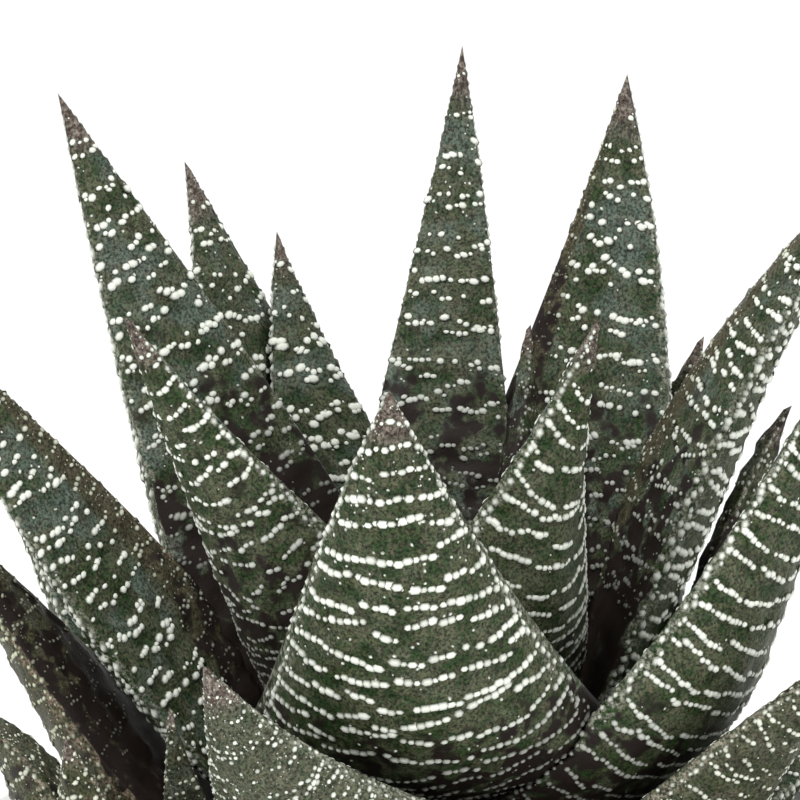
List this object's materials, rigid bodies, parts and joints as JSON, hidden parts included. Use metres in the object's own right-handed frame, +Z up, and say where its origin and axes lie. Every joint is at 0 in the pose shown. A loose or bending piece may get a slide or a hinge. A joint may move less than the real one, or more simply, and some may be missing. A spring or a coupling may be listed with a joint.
{
  "type": "potted haworthia",
  "caption": "Small round pot of soil with a rosette succulent: stiff, pointed, dark green leaves crossed by rows of raised white tubercles, and a young offset beside it.",
  "frame": {"origin": "centre of the pot's flat underside", "axes": "+Z up along the pot's axis; -Y faces the viewer of the picture and +X is to the viewer's right"},
  "size_m": [0.0685, 0.0653, 0.1082],
  "materials": {
    "leaf": "satin dark green leaf skin with white tubercles",
    "crown": "dull dry fibrous stem",
    "soil": "matte crumbly dark potting soil",
    "pot": "smooth pale grey-white glaze"
  },
  "bodies": {
    "root": {"pot": "pot", "soil": "soil", "stem": "crown", "leaf_01": "leaf", "leaf_02": "leaf", "leaf_03": "leaf", "leaf_04": "leaf", "leaf_05": "leaf", "leaf_06": "leaf", "leaf_07": "leaf", "leaf_08": "leaf", "leaf_09": "leaf", "leaf_10": "leaf", "leaf_11": "leaf", "leaf_12": "leaf", "leaf_13": "leaf", "leaf_14": "leaf", "leaf_15": "leaf", "leaf_16": "leaf", "leaf_17": "leaf", "leaf_18": "leaf", "leaf_19": "leaf", "leaf_20": "leaf", "leaf_21": "leaf", "leaf_22": "leaf", "leaf_23": "leaf", "leaf_24": "leaf", "offset": "leaf"}
  },
  "joints": []
}
